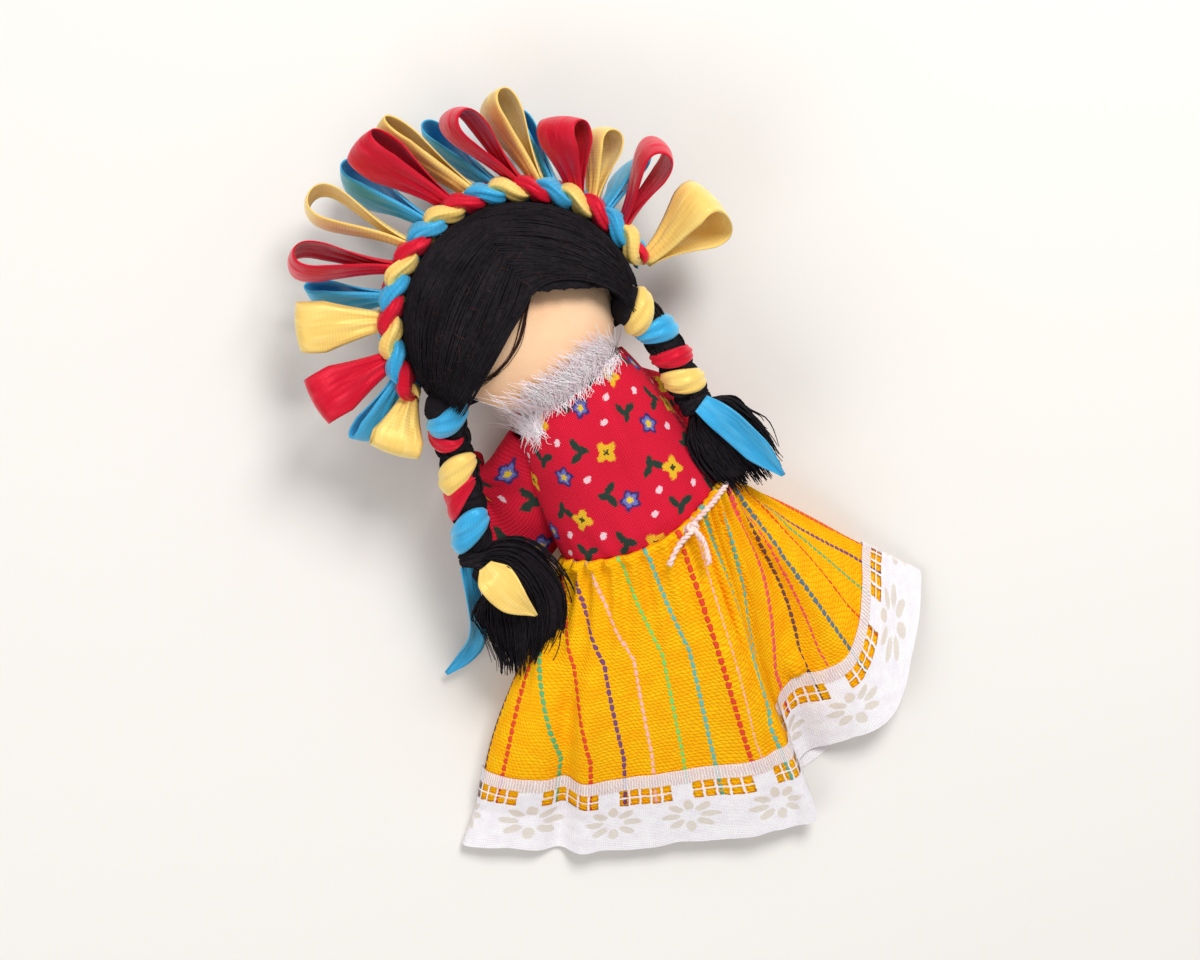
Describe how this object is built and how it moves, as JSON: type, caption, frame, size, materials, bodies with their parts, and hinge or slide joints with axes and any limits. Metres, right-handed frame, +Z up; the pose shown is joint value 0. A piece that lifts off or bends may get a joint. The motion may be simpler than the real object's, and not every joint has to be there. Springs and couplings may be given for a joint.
{
  "type": "cloth doll",
  "caption": "Small cloth doll lying on its back, with a crown of ribbon loops, long yarn braids, a flowered blouse and a gathered skirt with a lace hem.",
  "frame": {"origin": "Middle of the bounding box in X and Y, on the surface that the doll lies on.", "axes": "+X towards the doll's left hand, +Y from the skirt up the body to the crown, +Z up, out of the doll's front. The doll lies on its back."},
  "size_m": [0.1236, 0.1922, 0.0503],
  "materials": {
    "red_satin": "satin ribbon",
    "blue_satin": "satin ribbon",
    "yellow_satin": "satin ribbon",
    "black_yarn": "matt yarn",
    "skin_cloth": "matt cotton",
    "red_calico": "printed cotton with small flowers",
    "skirt_weave": "hand-woven cotton with coloured stripes",
    "white_lace": "cotton lace",
    "pink_cord": "twisted cotton cord"
  },
  "bodies": {
    "torso": {"torso": "skin_cloth", "blouse": "red_calico", "collar": "white_lace", "waist_cord": "pink_cord", "skirt": "skirt_weave", "skirt_lace": "white_lace"},
    "head": {"head": "skin_cloth", "hair_right": "black_yarn", "hair_left": "black_yarn", "crown_twist_red": "red_satin", "crown_twist_blue": "blue_satin", "crown_twist_yellow": "yellow_satin", "crown_loop_01": "yellow_satin", "crown_loop_02": "blue_satin", "crown_loop_03": "red_satin", "crown_loop_04": "yellow_satin", "crown_loop_05": "blue_satin", "crown_loop_06": "red_satin", "crown_loop_07": "yellow_satin", "crown_loop_08": "blue_satin", "crown_loop_09": "red_satin", "crown_loop_10": "yellow_satin", "crown_loop_11": "blue_satin", "crown_loop_12": "red_satin", "crown_loop_13": "yellow_satin", "crown_loop_14": "blue_satin", "crown_loop_15": "red_satin", "crown_loop_16": "yellow_satin", "crown_loop_17": "blue_satin", "crown_loop_18": "red_satin", "crown_loop_19": "yellow_satin"},
    "braid_right": {"braid_right": "black_yarn", "braid_right_ribbon_blue": "blue_satin", "braid_right_ribbon_red": "red_satin", "braid_right_ribbon_yellow": "yellow_satin", "braid_right_ribbon_blue_low": "blue_satin", "tie_right": "black_yarn", "tassel_right": "black_yarn", "ribbon_end_right_blue": "blue_satin", "ribbon_end_right_yellow": "yellow_satin"},
    "braid_left": {"braid_left": "black_yarn", "braid_left_ribbon_yellow": "yellow_satin", "braid_left_ribbon_blue": "blue_satin", "braid_left_ribbon_red": "red_satin", "braid_left_ribbon_yellow_low": "yellow_satin", "tie_left": "black_yarn", "tassel_left": "black_yarn", "ribbon_end_left_blue": "blue_satin"},
    "arm_right": {"arm_right": "skin_cloth", "sleeve_right": "red_calico"},
    "arm_left": {"arm_left": "skin_cloth", "sleeve_left": "red_calico"},
    "leg_right": {"leg_right": "skin_cloth"},
    "leg_left": {"leg_left": "skin_cloth"}
  },
  "joints": [
    {"name": "neck_nod", "type": "hinge", "parent": "torso", "child": "head", "pos_m": [0.01049, 0.02564, 0.021], "axis": [1, 0, 0], "range_deg": [-22, 0]},
    {"name": "braid_right_lift", "type": "hinge", "parent": "head", "child": "braid_right", "pos_m": [-0.01496, 0.03364, 0.0305], "axis": [-1, 0, 0], "range_deg": [0, 60]},
    {"name": "braid_left_lift", "type": "hinge", "parent": "head", "child": "braid_left", "pos_m": [0.03144, 0.03364, 0.0305], "axis": [-1, 0, 0], "range_deg": [0, 60]},
    {"name": "shoulder_right", "type": "hinge", "parent": "torso", "child": "arm_right", "pos_m": [-0.00256, 0.01564, 0.018], "axis": [0, 0, -1], "range_deg": [0, 35]},
    {"name": "shoulder_left", "type": "hinge", "parent": "torso", "child": "arm_left", "pos_m": [0.02364, 0.01564, 0.014], "axis": [0, 0, 1], "range_deg": [0, 60]},
    {"name": "hip_right", "type": "hinge", "parent": "torso", "child": "leg_right", "pos_m": [0.00424, -0.02711, 0.012], "axis": [-1, 0, 0], "range_deg": [0, 50], "deforming": ["skirt", "skirt_lace"]},
    {"name": "hip_left", "type": "hinge", "parent": "torso", "child": "leg_left", "pos_m": [0.01924, -0.02711, 0.012], "axis": [-1, 0, 0], "range_deg": [0, 50], "deforming": ["skirt", "skirt_lace"]}
  ],
  "couplings": [
    {"joint": "hip_left", "follows": "hip_right", "ratio": 1}
  ]
}
